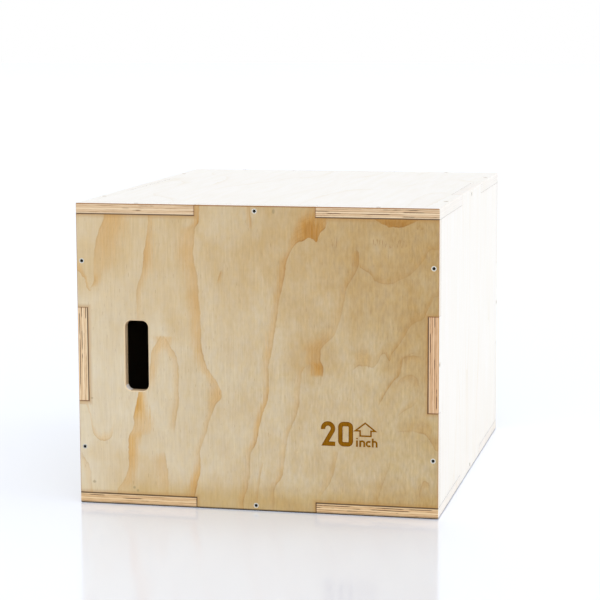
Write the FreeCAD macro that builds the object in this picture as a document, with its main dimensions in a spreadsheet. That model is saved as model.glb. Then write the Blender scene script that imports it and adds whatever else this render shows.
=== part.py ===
import FreeCAD, Part
import os
import Sketcher

# A plywood jump box of three heights: six finger-jointed panels screwed together round one inner brace.
# Millimetres, +Z up, the front faces -Y, and the origin is at the middle of the underside.

# Driving sizes: name, millimetres, meaning
SIZES = [
    ("box_width", "609.6", "24 in, left to right"),
    ("box_depth", "762", "30 in, front to back"),
    ("box_height", "508", "20 in, floor to landing face"),
    ("panel_thickness", "18", "plywood of the six panels"),
    ("end_tab", "203.2", "length of the front and back panels' tabs in the top and bottom"),
    ("side_tab", "254", "length of the side panels' tabs in the top and bottom"),
    ("side_finger", "158", "length of the side panels' fingers in the front and back"),
    ("joint_gap", "0.3", "glue line between two panels"),
    ("edge_round", "2", "sanding of the box's outer edges"),
    ("hand_hole_width", "40", "across the grip"),
    ("hand_hole_height", "118", "along the grip"),
    ("hand_hole_corner", "11", "corner radius of the hand hole"),
    ("hand_hole_rim", "2.5", "round of the hand hole's outer rim"),
    ("hand_hole_ease", "1.5", "bevel of the hand hole's inner rim"),
    ("hand_hole_inset", "102", "left face of the box to the middle of the hand hole"),
    ("brace_thickness", "18", "plywood of the inner brace"),
    ("groove_depth", "6", "housing of the brace in a side panel"),
    ("groove_gap", "0.2", "room beside the brace in its groove"),
    ("screw_length", "50", "head to point"),
    ("screw_shank", "4.5", "shank diameter"),
    ("screw_head", "8.4", "head diameter"),
    ("screw_head_height", "2.2", "cone of the head"),
    ("screw_point", "7", "length of the point"),
    ("screw_tip", "1", "blunt end of the point"),
    ("screw_sink", "0.2", "head below the panel's face"),
    ("screw_clearance", "0.1", "room round head and shank"),
    ("pilot_spare", "1", "pilot hole past the screw's point"),
    ("cut_overrun", "1", "cutter past the face that it cuts"),
]
SCREW_SIDES = 12
EDGE_SIZE = {"Fillet": "Radius", "Chamfer": "Size"}
HALF_TURN = 180
QUARTER_TURN = 90
SAME_PLACE = 0.001
X_AXIS = FreeCAD.Vector(1, 0, 0)
Y_AXIS = FreeCAD.Vector(0, 1, 0)
Z_AXIS = FreeCAD.Vector(0, 0, 1)

doc = FreeCAD.newDocument("jump_box")
sheet = doc.addObject("Spreadsheet::Sheet", "Sizes")
for row, (alias, millimetres, meaning) in enumerate(SIZES, start=1):
    sheet.set(f"A{row}", meaning)
    sheet.set(f"B{row}", millimetres)
    sheet.setAlias(f"B{row}", alias)
doc.recompute()

# Places that pieces share, measured from the middle of the box
HALF_WIDTH = "Sizes.box_width / 2"
HALF_DEPTH = "Sizes.box_depth / 2"
HALF_HEIGHT = "Sizes.box_height / 2"
END_TAB = "Sizes.end_tab / 2"
SIDE_TAB = "Sizes.side_tab / 2"
SIDE_FINGER = "Sizes.side_finger / 2"

# A panel's edge that butts against the next panel's inner face
BUTT = "(Sizes.panel_thickness + Sizes.joint_gap)"
BUTT_WIDTH = f"({HALF_WIDTH} - {BUTT})"
BUTT_DEPTH = f"({HALF_DEPTH} - {BUTT})"
BUTT_HEIGHT = f"({HALF_HEIGHT} - {BUTT})"

# The middle of a panel's thickness
MID_WIDTH = f"({HALF_WIDTH} - Sizes.panel_thickness / 2)"
MID_DEPTH = f"({HALF_DEPTH} - Sizes.panel_thickness / 2)"
MID_HEIGHT = f"({HALF_HEIGHT} - Sizes.panel_thickness / 2)"

# The middle of a corner finger, where its screw goes
END_SPOT = f"({BUTT_HEIGHT} + {SIDE_FINGER}) / 2"
TOP_SPOT_ACROSS = f"({HALF_WIDTH} + {END_TAB}) / 2"
TOP_SPOT_ALONG = f"({HALF_DEPTH} + {SIDE_TAB}) / 2"

# The top of a screw's head, just under the face of the box that it is driven into
HEAD_WIDTH = f"({HALF_WIDTH} - Sizes.screw_sink)"
HEAD_DEPTH = f"({HALF_DEPTH} - Sizes.screw_sink)"
HEAD_HEIGHT = f"({HALF_HEIGHT} - Sizes.screw_sink)"


def minus(expression):
    return f"-({expression})"


def above_floor(up):
    return f"{HALF_HEIGHT} + {up}"


# Screws of a panel by edge, each at its place on the panel's face
END_SCREWS = {
    "top_screw": [("0", MID_HEIGHT)],
    "bottom_screw": [("0", minus(MID_HEIGHT))],
    "left_screws": [(minus(MID_WIDTH), END_SPOT), (minus(MID_WIDTH), minus(END_SPOT))],
    "right_screws": [(MID_WIDTH, END_SPOT), (MID_WIDTH, minus(END_SPOT))],
}
SIDE_SCREWS = {
    "top_screw": [("0", MID_HEIGHT)],
    "bottom_screw": [("0", minus(MID_HEIGHT))],
    "front_screw": [(minus(MID_DEPTH), "0")],
    "back_screw": [(MID_DEPTH, "0")],
}
TOP_SCREWS = {
    "front_screws": [(minus(TOP_SPOT_ACROSS), minus(MID_DEPTH)), (TOP_SPOT_ACROSS, minus(MID_DEPTH))],
    "back_screws": [(minus(TOP_SPOT_ACROSS), MID_DEPTH), (TOP_SPOT_ACROSS, MID_DEPTH)],
    "left_screws": [(minus(MID_WIDTH), minus(TOP_SPOT_ALONG)), (minus(MID_WIDTH), TOP_SPOT_ALONG)],
    "right_screws": [(MID_WIDTH, minus(TOP_SPOT_ALONG)), (MID_WIDTH, TOP_SPOT_ALONG)],
}

# Faces of the box: their screws, the quarter turns that aim a screw inwards, and a spot's place in the box
SCREWED_FACES = [
    ("top", TOP_SCREWS, X_AXIS, 0, lambda x, y: (x, y, above_floor(HEAD_HEIGHT))),
    ("bottom", TOP_SCREWS, X_AXIS, 2, lambda x, y: (x, y, above_floor(minus(HEAD_HEIGHT)))),
    ("front", END_SCREWS, X_AXIS, 1, lambda x, z: (x, minus(HEAD_DEPTH), above_floor(z))),
    ("back", END_SCREWS, X_AXIS, -1, lambda x, z: (x, HEAD_DEPTH, above_floor(z))),
    ("right", SIDE_SCREWS, Y_AXIS, 1, lambda y, z: (HEAD_WIDTH, y, above_floor(z))),
    ("left", SIDE_SCREWS, Y_AXIS, -1, lambda y, z: (minus(HEAD_WIDTH), y, above_floor(z))),
]


# Sketches
def value(expression):
    return float(sheet.evalExpression(expression))


def origin_plane(body, role):
    return next(plane for plane in body.Origin.OriginFeatures if plane.Role == role)


def new_sketch(body, name, role, offset):
    sketch = body.newObject("Sketcher::SketchObject", f"{body.Name}_{name}")
    sketch.AttachmentSupport = [(origin_plane(body, role), "")]
    sketch.MapMode = "FlatFace"
    sketch.setExpression("AttachmentOffset.Base.z", offset)
    return sketch


def hold(sketch, kind, geometry, expression):
    """Adds one dimension to the sketch and ties it to the sheet."""
    index = sketch.addConstraint(Sketcher.Constraint(kind, *geometry, value(expression)))
    sketch.setExpression(f"Constraints[{index}]", expression)


def draw_outline(sketch, corners):
    """A closed outline of straight lines, each corner held across and up."""
    points = [FreeCAD.Vector(value(across), value(up)) for across, up in corners]
    for start, end in zip(points, points[1:] + points[:1]):
        sketch.addGeometry(Part.LineSegment(start, end))
    for line, (across, up) in enumerate(corners):
        line_before = (line - 1) % len(corners)
        sketch.addConstraint(Sketcher.Constraint("Coincident", line_before, 2, line, 1))
        hold(sketch, "DistanceX", (line, 1), across)
        hold(sketch, "DistanceY", (line, 1), up)


def four_way(quarter):
    """Repeats the corners of an outline's upper right quarter in the other three quarters."""
    lower_right = [(across, minus(up)) for across, up in reversed(quarter)]
    lower_left = [(minus(across), minus(up)) for across, up in quarter]
    upper_left = [(minus(across), up) for across, up in reversed(quarter)]
    return quarter + lower_right + lower_left + upper_left


# Features
def add_pad(body, name, sketch, length):
    """A blank board that reaches inwards from its sketch."""
    pad = body.newObject("PartDesign::Pad", f"{body.Name}_{name}")
    pad.Profile = sketch
    pad.Reversed = True
    pad.setExpression("Length", length)
    doc.recompute()
    return pad


def near(first, second):
    return abs(first - second) < SAME_PLACE


def settle(body, feature, base):
    """Makes the feature the body's last one and checks that it changed its base."""
    body.Tip = feature
    doc.recompute()
    if feature.Shape.isNull() or near(feature.Shape.Volume, base.Shape.Volume):
        raise RuntimeError(f"{feature.Name} changes nothing")
    return feature


def cut_pocket(body, name, sketch, depth, outwards=False):
    base = body.Tip
    pocket = body.newObject("PartDesign::Pocket", f"{body.Name}_{name}")
    pocket.Profile = sketch
    pocket.Reversed = outwards
    pocket.setExpression("Length", depth)
    return settle(body, pocket, base)


def dress_edges(body, name, kind, base, wanted, size):
    """Rounds or bevels those edges of the base that pass the test."""
    edges = [f"Edge{number}" for number, edge in enumerate(base.Shape.Edges, start=1) if wanted(edge)]
    dressing = body.newObject(f"PartDesign::{kind}", f"{body.Name}_{name}")
    dressing.Base = (base, edges)
    dressing.setExpression(EDGE_SIZE[kind], size)
    return settle(body, dressing, base)


# Wood screws, and the countersunk holes for them: head up, with the top of the head at the origin
def turn_faceted(label, rings):
    """A turned form with flat sides, through rings given by radius and height."""
    sections = []
    for number, (radius, height) in enumerate(rings, start=1):
        ring = doc.addObject("Part::RegularPolygon", f"{label}_ring_{number}")
        ring.Polygon = SCREW_SIDES
        ring.setExpression("Circumradius", radius)
        ring.setExpression("Placement.Base.z", height)
        sections.append(ring)
    form = doc.addObject("Part::Loft", label)
    form.Sections = sections
    form.Solid = True
    form.Ruled = True
    form.Linearize = True
    return form


def make_screw(label):
    """A countersunk head, a plain shank and a point."""
    head = "Sizes.screw_head / 2"
    shank = "Sizes.screw_shank / 2"
    tip = "Sizes.screw_tip / 2"
    rings = [
        (head, "0"),
        (shank, "-Sizes.screw_head_height"),
        (shank, "Sizes.screw_point - Sizes.screw_length"),
        (tip, "-Sizes.screw_length"),
    ]
    return turn_faceted(label, rings)


def make_screw_hole(label):
    """What is cut away for one screw: the countersink, and the bore on into the next panel."""
    cone = "(Sizes.screw_head - Sizes.screw_shank) / (2 * Sizes.screw_head_height)"
    mouth = f"Sizes.screw_head / 2 + Sizes.screw_clearance + Sizes.screw_sink * {cone}"
    bore = "Sizes.screw_shank / 2 + Sizes.screw_clearance"
    rings = [
        (mouth, "Sizes.screw_sink + Sizes.cut_overrun"),
        (mouth, "Sizes.screw_sink"),
        (bore, "-Sizes.screw_head_height"),
        (bore, "-Sizes.screw_length - Sizes.pilot_spare"),
    ]
    return turn_faceted(label, rings)


def set_in_row(form, label, aim, places):
    """A copy of the form at each place, all aimed alike, as one group of separate solids."""
    copies = []
    for number, place in enumerate(places, start=1):
        copy = doc.addObject("App::Link", f"{label}_{number}")
        copy.LinkedObject = form
        copy.Placement = FreeCAD.Placement(FreeCAD.Vector(), aim)
        for direction, expression in zip("xyz", place):
            copy.setExpression(f"Placement.Base.{direction}", expression)
        copies.append(copy)
    row = doc.addObject("Part::Compound", label)
    row.Links = copies
    return row


screw = make_screw("wood_screw")
screw_hole = make_screw_hole("screw_hole")
screw_rows = []
holes_in = {face: [] for face, *_ in SCREWED_FACES}
for face, screws, axis, quarter_turns, place_of in SCREWED_FACES:
    aim = FreeCAD.Rotation(axis, quarter_turns * QUARTER_TURN)
    for edge, spots in screws.items():
        neighbour = edge.split("_")[0]
        places = [place_of(*spot) for spot in spots]
        screw_rows.append(set_in_row(screw, f"{face}_{edge}", aim, places))
        holes = set_in_row(screw_hole, f"{face}_{edge}_holes", aim, places)
        holes_in[face].append(holes)
        holes_in[neighbour].append(holes)
doc.recompute()


# Work that all six panels share
def saw_panel(face, plane, distance, quarter):
    """A board with its outer face in the box's, its joints sawn, and the box's outer edges sanded round."""
    body = doc.addObject("PartDesign::Body", f"{face}_board")
    outline = new_sketch(body, "outline", plane, distance)
    draw_outline(outline, four_way(quarter))
    blank = add_pad(body, "blank", outline, "Sizes.panel_thickness")
    halves = [value(half) for half in (HALF_WIDTH, HALF_DEPTH, HALF_HEIGHT)]

    def between_two_box_faces(edge):
        return sum(near(abs(place), half) for place, half in zip(edge.CenterOfMass, halves)) > 1

    dress_edges(body, "sanding", "Fillet", blank, between_two_box_faces, "Sizes.edge_round")
    return body


def stand(body, axis, half_turns):
    """Places a board drawn about the middle of the box, turned over where it closes the opposite side."""
    body.Placement = FreeCAD.Placement(FreeCAD.Vector(), FreeCAD.Rotation(axis, half_turns * HALF_TURN))
    body.setExpression("Placement.Base.z", HALF_HEIGHT)
    return body


def drill(face, board):
    """The finished panel, with holes for its own screws and for its neighbours'."""
    holes = doc.addObject("Part::Compound", f"{face}_panel_holes")
    holes.Links = holes_in[face]
    panel = doc.addObject("Part::Cut", f"{face}_panel")
    panel.Base = board
    panel.Tool = holes
    doc.recompute()
    if panel.Shape.isNull() or near(panel.Shape.Volume, board.Shape.Volume):
        raise RuntimeError(f"{panel.Name} has no screw holes")
    return panel


# Top and bottom panels: full rectangles, notched in the middle of each edge for the other panels' tabs
def make_top_or_bottom(face, half_turns):
    end_notch = f"({END_TAB} + Sizes.joint_gap)"
    side_notch = f"({SIDE_TAB} + Sizes.joint_gap)"
    quarter = [
        (end_notch, BUTT_DEPTH),
        (end_notch, HALF_DEPTH),
        (HALF_WIDTH, HALF_DEPTH),
        (HALF_WIDTH, side_notch),
        (BUTT_WIDTH, side_notch),
    ]
    board = saw_panel(face, "XY_Plane", HALF_HEIGHT, quarter)
    return drill(face, stand(board, Y_AXIS, half_turns))


# Front and back panels: tabs above and below, side notches for the side panels' fingers, and a hand hole
def make_front_or_back(face, half_turns):
    notch = f"({SIDE_FINGER} + Sizes.joint_gap)"
    quarter = [
        (END_TAB, HALF_HEIGHT),
        (END_TAB, BUTT_HEIGHT),
        (HALF_WIDTH, BUTT_HEIGHT),
        (HALF_WIDTH, notch),
        (BUTT_WIDTH, notch),
    ]
    board = saw_panel(face, "XZ_Plane", HALF_DEPTH, quarter)
    cut_hand_hole(board)
    return drill(face, stand(board, X_AXIS, half_turns))


def cut_hand_hole(board):
    """An upright grip slot with round corners, a round outer rim and a bevelled inner one."""
    middle = f"(Sizes.hand_hole_inset - {HALF_WIDTH})"
    left = f"({middle} - Sizes.hand_hole_width / 2)"
    right = f"({middle} + Sizes.hand_hole_width / 2)"
    top = "(Sizes.hand_hole_height / 2)"
    outline = new_sketch(board, "hand_hole_outline", "XZ_Plane", HALF_DEPTH)
    draw_outline(outline, [(left, top), (right, top), (right, minus(top)), (left, minus(top))])
    slot = cut_pocket(board, "hand_hole", outline, "Sizes.panel_thickness")
    outer_face = minus(HALF_DEPTH)
    inner_face = f"{outer_face} + Sizes.panel_thickness"

    def slot_corner(edge):
        centre = edge.CenterOfMass
        at_side = near(centre.x, value(left)) or near(centre.x, value(right))
        return at_side and near(abs(centre.z), value(top))

    def slot_rim(edge, face):
        centre = edge.CenterOfMass
        in_slot = value(left) - SAME_PLACE < centre.x < value(right) + SAME_PLACE
        return in_slot and near(centre.y, value(face)) and abs(centre.z) < value(top) + SAME_PLACE

    def outer_rim(edge):
        return slot_rim(edge, outer_face)

    def inner_rim(edge):
        return slot_rim(edge, inner_face)

    corners = dress_edges(board, "hand_hole_corners", "Fillet", slot, slot_corner, "Sizes.hand_hole_corner")
    rounded = dress_edges(board, "hand_hole_rim", "Fillet", corners, outer_rim, "Sizes.hand_hole_rim")
    dress_edges(board, "hand_hole_ease", "Chamfer", rounded, inner_rim, "Sizes.hand_hole_ease")


# Side panels: a tab above and below, a finger at each end, and a stopped groove inside for the brace
def make_side(face, half_turns):
    quarter = [
        (SIDE_TAB, HALF_HEIGHT),
        (SIDE_TAB, BUTT_HEIGHT),
        (BUTT_DEPTH, BUTT_HEIGHT),
        (BUTT_DEPTH, SIDE_FINGER),
        (HALF_DEPTH, SIDE_FINGER),
    ]
    board = saw_panel(face, "YZ_Plane", HALF_WIDTH, quarter)
    inner_face = f"{HALF_WIDTH} - Sizes.panel_thickness"
    groove_side = "(Sizes.brace_thickness / 2 + Sizes.groove_gap)"
    groove_end = f"({HALF_HEIGHT} - Sizes.panel_thickness)"
    groove_outline = new_sketch(board, "groove_outline", "YZ_Plane", inner_face)
    draw_outline(groove_outline, four_way([(groove_side, groove_end)]))
    cut_pocket(board, "groove", groove_outline, "Sizes.groove_depth", outwards=True)
    return drill(face, stand(board, Z_AXIS, half_turns))


# Brace: one board across the middle of the box, glued into the side panels' grooves
def make_brace(label):
    body = doc.addObject("PartDesign::Body", label)
    reach = f"({HALF_WIDTH} - Sizes.panel_thickness + Sizes.groove_depth - Sizes.joint_gap)"
    outline = new_sketch(body, "outline", "XZ_Plane", "Sizes.brace_thickness / 2")
    draw_outline(outline, four_way([(reach, BUTT_HEIGHT)]))
    add_pad(body, "blank", outline, "Sizes.brace_thickness")
    return stand(body, Z_AXIS, 0)


nodes = [
    make_top_or_bottom("top", 0),
    make_top_or_bottom("bottom", 1),
    make_front_or_back("front", 0),
    make_front_or_back("back", 1),
    make_side("right", 0),
    make_side("left", 1),
    make_brace("centre_brace"),
]
nodes += screw_rows
doc.recompute()

# Every object has to be sound before any is written
for item in doc.Objects:
    if {"Invalid", "Error"} & set(item.State):
        raise RuntimeError(f"{item.Name} failed: {item.State}")
for node in nodes:
    if node.Shape.isNull() or not node.Shape.isValid():
        raise RuntimeError(f"{node.Label} is not a sound solid")

os.makedirs("parts", exist_ok=True)
for node in nodes:
    node.Shape.exportStep(f"parts/{node.Label}.step")
    print(node.Label, len(node.Shape.Solids), round(node.Shape.Volume))
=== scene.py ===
import math

import bmesh
import bpy
from mathutils import Matrix, Vector


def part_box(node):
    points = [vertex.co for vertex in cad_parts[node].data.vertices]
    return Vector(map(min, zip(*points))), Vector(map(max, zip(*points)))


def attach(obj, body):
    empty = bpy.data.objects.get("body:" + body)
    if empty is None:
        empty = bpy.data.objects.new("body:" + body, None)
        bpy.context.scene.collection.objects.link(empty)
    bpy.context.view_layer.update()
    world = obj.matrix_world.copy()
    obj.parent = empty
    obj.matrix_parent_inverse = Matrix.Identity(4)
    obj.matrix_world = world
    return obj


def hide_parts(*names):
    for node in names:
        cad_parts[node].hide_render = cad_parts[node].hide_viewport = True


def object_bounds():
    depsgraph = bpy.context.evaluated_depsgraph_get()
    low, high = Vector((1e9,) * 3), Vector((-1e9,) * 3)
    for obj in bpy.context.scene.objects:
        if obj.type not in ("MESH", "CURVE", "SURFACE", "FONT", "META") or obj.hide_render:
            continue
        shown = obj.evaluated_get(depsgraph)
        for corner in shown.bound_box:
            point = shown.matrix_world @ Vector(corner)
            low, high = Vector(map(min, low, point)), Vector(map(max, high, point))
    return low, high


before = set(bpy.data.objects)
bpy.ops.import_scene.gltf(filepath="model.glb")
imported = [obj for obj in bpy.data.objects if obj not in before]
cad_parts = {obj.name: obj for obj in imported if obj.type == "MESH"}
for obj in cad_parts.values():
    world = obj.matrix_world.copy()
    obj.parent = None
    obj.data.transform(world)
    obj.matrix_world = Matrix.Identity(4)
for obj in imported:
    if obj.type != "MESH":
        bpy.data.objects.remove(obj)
cad_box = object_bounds()


# Centre brace: one board across the middle of the box, that keeps the two long sides from bowing.
# It is cut from the same pine plywood as the rest and housed in stopped grooves in the side panels.

MM = 1000
AXES = "XYZ"
box_low, box_high = (Vector(corner) * MM for corner in cad_box)
box_size = box_high - box_low
half_box = box_size / 2
box_middle = (box_high + box_low) / 2
brace_low, brace_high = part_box("centre_brace")
board_thickness = (brace_high[1] - brace_low[1]) * MM


def colour(red, green, blue):
    """Turns a colour as it looks on a screen, 0 to 255, into the linear one that a shader reads."""
    shades = (value / 255 for value in (red, green, blue))
    return (*(((s + 0.055) / 1.055) ** 2.4 if s > 0.04045 else s / 12.92 for s in shades), 1)


def feed(tree, value, socket):
    """Links a field or an output to a socket, or sets the socket to a plain value."""
    if isinstance(value, Field):
        value = value.socket
    if isinstance(value, bpy.types.NodeSocket):
        tree.links.new(value, socket)
    else:
        socket.default_value = value


class Field:
    """A number that varies over a surface. Arithmetic on it adds nodes to its tree."""

    def __init__(self, tree, socket):
        self.tree = tree
        self.socket = socket

    def math(self, operation, *values):
        node = self.tree.nodes.new("ShaderNodeMath")
        node.operation = operation
        for value, socket in zip(values, node.inputs):
            feed(self.tree, value, socket)
        return Field(self.tree, node.outputs[0])

    def __add__(self, other):
        return self.math("ADD", self, other)

    def __sub__(self, other):
        return self.math("SUBTRACT", self, other)

    def __rsub__(self, other):
        return self.math("SUBTRACT", other, self)

    def __mul__(self, other):
        return self.math("MULTIPLY", self, other)

    def __truediv__(self, other):
        return self.math("DIVIDE", self, other)

    def __abs__(self):
        return self.math("ABSOLUTE", self)

    def power(self, exponent):
        return self.math("POWER", self, exponent)

    def least(self, other):
        return self.math("MINIMUM", self, other)

    def most(self, other):
        return self.math("MAXIMUM", self, other)

    def fraction(self):
        return self.math("FRACT", self)

    def whole(self):
        return self.math("FLOOR", self)

    def fall(self, reach):
        """1 where the field is 0 or less, and fading away over about this reach above it."""
        return self.math("EXPONENT", self.most(0) * (-1 / reach))

    def rise(self, start, end, first=0.0, last=1.0):
        """Goes smoothly from the first value to the last while the field goes from start to end."""
        node = self.tree.nodes.new("ShaderNodeMapRange")
        node.interpolation_type = "SMOOTHSTEP"
        for value, socket in zip((self, start, end, first, last), node.inputs):
            feed(self.tree, value, socket)
        return Field(self.tree, node.outputs[0])


def split(tree, vector):
    """The three parts of a vector, as fields."""
    node = tree.nodes.new("ShaderNodeSeparateXYZ")
    feed(tree, vector, node.inputs[0])
    return [Field(tree, output) for output in node.outputs]


def join(tree, *parts):
    """A vector made of three fields or numbers."""
    node = tree.nodes.new("ShaderNodeCombineXYZ")
    for part, socket in zip(parts, node.inputs):
        feed(tree, part, socket)
    return node.outputs[0]


def places_in_mm(tree):
    """Places on the piece, in millimetres about the middle of the box."""
    node = tree.nodes.new("ShaderNodeMapping")
    node.vector_type = "TEXTURE"
    feed(tree, tree.nodes.new("ShaderNodeTexCoord").outputs["Object"], node.inputs["Vector"])
    node.inputs["Location"].default_value = box_middle / MM
    node.inputs["Scale"].default_value = (1 / MM, 1 / MM, 1 / MM)
    return split(tree, node.outputs[0])


def blend(tree, amount, first, second, way="MIX"):
    """Mixes two colours by an amount from 0 to 1."""
    node = tree.nodes.new("ShaderNodeMix")
    node.data_type = "RGBA"
    node.blend_type = way
    amount_socket, first_socket, second_socket = node.inputs[0], node.inputs[6], node.inputs[7]
    feed(tree, amount, amount_socket)
    feed(tree, first, first_socket)
    feed(tree, second, second_socket)
    return node.outputs[2]


def noise(tree, place, detail):
    """Noise from 0 to 1, in blotches one unit of the place across."""
    node = tree.nodes.new("ShaderNodeTexNoise")
    feed(tree, place, node.inputs["Vector"])
    node.inputs["Scale"].default_value = 1
    node.inputs["Detail"].default_value = detail
    return Field(tree, node.outputs["Fac"])


class Board:
    """The material of one board, by its axes across the grain, along it and through the thickness."""

    def __init__(self, name, across, along, depth, seed, face=None):
        self.material = bpy.data.materials.new(name)
        self.material.use_nodes = True
        self.tree = self.material.node_tree
        self.shader = self.tree.nodes["Principled BSDF"]
        self.seed = seed
        places = dict(zip(AXES, places_in_mm(self.tree)))
        geometry = self.tree.nodes.new("ShaderNodeNewGeometry")
        normals = dict(zip(AXES, split(self.tree, geometry.outputs["Normal"])))
        halves = dict(zip(AXES, half_box))
        self.across = places[across]
        self.along = places[along]
        self.depth = (face or halves[depth]) - abs(places[depth])
        self.facing = abs(normals[depth])
        self.rim = (halves[across] - abs(places[across])).least(halves[along] - abs(places[along]))
        self.height = places["Z"] + half_box.z

        def outer_face(axis):
            """1 on the outer face of the box that looks along this axis."""
            outermost = places[axis].rise(halves[axis] - 4, halves[axis] - 3)
            return normals[axis].rise(0.8, 0.97) * outermost

        arris_between = (normals["X"] + normals["Z"]).rise(1.1, 1.3)
        self.sunny = outer_face("X").most(outer_face("Z")).most(arris_between)

    def noise(self, wide, long, seed, deep=None, detail=2.0):
        """Noise from 0 to 1 in blotches about this wide across the grain and this long along it."""
        layer = self.seed + seed
        third = layer if deep is None else self.depth / deep + layer
        return noise(self.tree, join(self.tree, self.across / wide, self.along / long, third), detail)

    def blend(self, amount, first, second, way="MIX"):
        return blend(self.tree, amount, first, second, way)


RESIN_BROWN = colour(146, 104, 62)


def fibres(board, veneer, lively):
    """Adds what every pine veneer has: fine fibres, streaks, cool blotches and short streaks of resin."""
    crispness = board.noise(wide=45, long=120, seed=17).rise(0.35, 0.65, 0.5, 1.2)
    fine = (board.noise(wide=1.2, long=40, seed=11, detail=4) - 0.5) * crispness
    streak = board.noise(wide=4, long=110, seed=13, detail=3) - 0.5
    mottle = board.noise(wide=4, long=13, seed=12, detail=4) - 0.5
    lathe = board.noise(wide=60, long=5, seed=14, detail=3) - 0.5
    coolness = (board.noise(wide=10, long=18, seed=16, detail=3) - 0.5) * lively
    fine_share, streak_share, lathe_share, mottle_share = 0.32, 0.16, 0.05, 0.2
    light = fine * fine_share + streak * streak_share + lathe * lathe_share
    light = light + mottle * mottle_share * lively * lively
    # How far the light and the coolness change the red, the green and the blue.
    red_shares, green_shares, blue_shares = (0.85, -0.06), (1.0, 0.02), (1.3, 0.3)
    shares = (red_shares, green_shares, blue_shares)
    tints = join(board.tree, *(light * bright + coolness * cool + 1 for bright, cool in shares))
    veneer = board.blend(1.0, veneer, tints, "MULTIPLY")
    resin = board.noise(wide=1.1, long=13, seed=15, detail=0).rise(0.77, 0.84) * 0.45
    return board.blend(resin, veneer, RESIN_BROWN)


PLIES = 5
LONG_GRAIN_PALE = colour(244, 222, 188)
LONG_GRAIN_DARK = colour(231, 204, 166)
END_GRAIN_PALE = colour(233, 206, 170)
END_GRAIN_DARK = colour(214, 180, 140)
GLUE_BROWN = colour(146, 94, 46)
CORE_GAP_BROWN = colour(96, 58, 22)


def ply_edge(board):
    """The sawn edge: five veneers with brown glue lines, and dark gaps where a core veneer is open."""
    bend = board.noise(wide=90, long=90, seed=21) * 0.3 - 0.15
    layer = board.depth * (PLIES / board_thickness) + bend
    within = layer.fraction()
    from_glue = within.least(1 - within)
    glue_line = (layer + 0.5).whole()
    grain = board.noise(wide=14, long=14, seed=22, deep=0.7, detail=4).rise(0.25, 0.75)
    long_grain = board.blend(grain, LONG_GRAIN_PALE, LONG_GRAIN_DARK)
    end_grain = board.blend(grain, END_GRAIN_PALE, END_GRAIN_DARK)
    edge = board.blend((layer * 0.5).fraction().rise(0.499, 0.501), long_grain, end_grain)

    def along_glue_line(reach, step):
        """Noise in stretches about this long, which differs from one glue line to the next by a step."""
        spot = (board.across / reach, board.along / reach, glue_line * step + board.seed)
        return noise(board.tree, join(board.tree, *spot), 3)

    glue = from_glue.rise(0.04, 0.2, 1, 0) * along_glue_line(45, 7.3).rise(0.38, 0.66, 0.15, 1)
    core = abs(board.depth - board_thickness / 2).rise(6.5, 7.5, 1, 0)
    edge = board.blend(glue * core * 0.9, edge, GLUE_BROWN)
    gap = along_glue_line(60, 3.7).rise(0.57, 0.62) * from_glue.rise(0.1, 0.24, 1, 0)
    return board.blend(gap * core, edge, CORE_GAP_BROWN)


PLAIN_EDGE = colour(250, 250, 250)
RUBBED_WOOD = colour(214, 158, 98)
# A darker brown for the part of each rounded arris that turns towards the face.
ARRIS_DARK_BROWN = colour(146, 94, 46)
CLEAN_ARRIS = colour(236, 214, 178)
# Painted shade for the inner faces of every board, which are the same wood as the outer ones.
PAINTED_INSIDE_SHADE = colour(78, 58, 38)
SEAM_STAIN = colour(176, 126, 58)
LOW_SEAM = colour(84, 48, 6)
HIGH_SEAM = colour(136, 82, 30)
# Painted contact shade along the foot of each board, where the box stands on the floor.
PAINTED_CONTACT_SHADE = colour(60, 42, 28)
SHOE_DIRT = colour(142, 92, 38)
# Painted light: the outer faces that look right and up are painted nearly white, as if brightly lit, and
# their grain shows faintly.
PAINTED_LIGHT_WOOD = colour(254, 254, 254)
PAINTED_LIGHT_GRAIN = colour(246, 243, 235)


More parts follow.
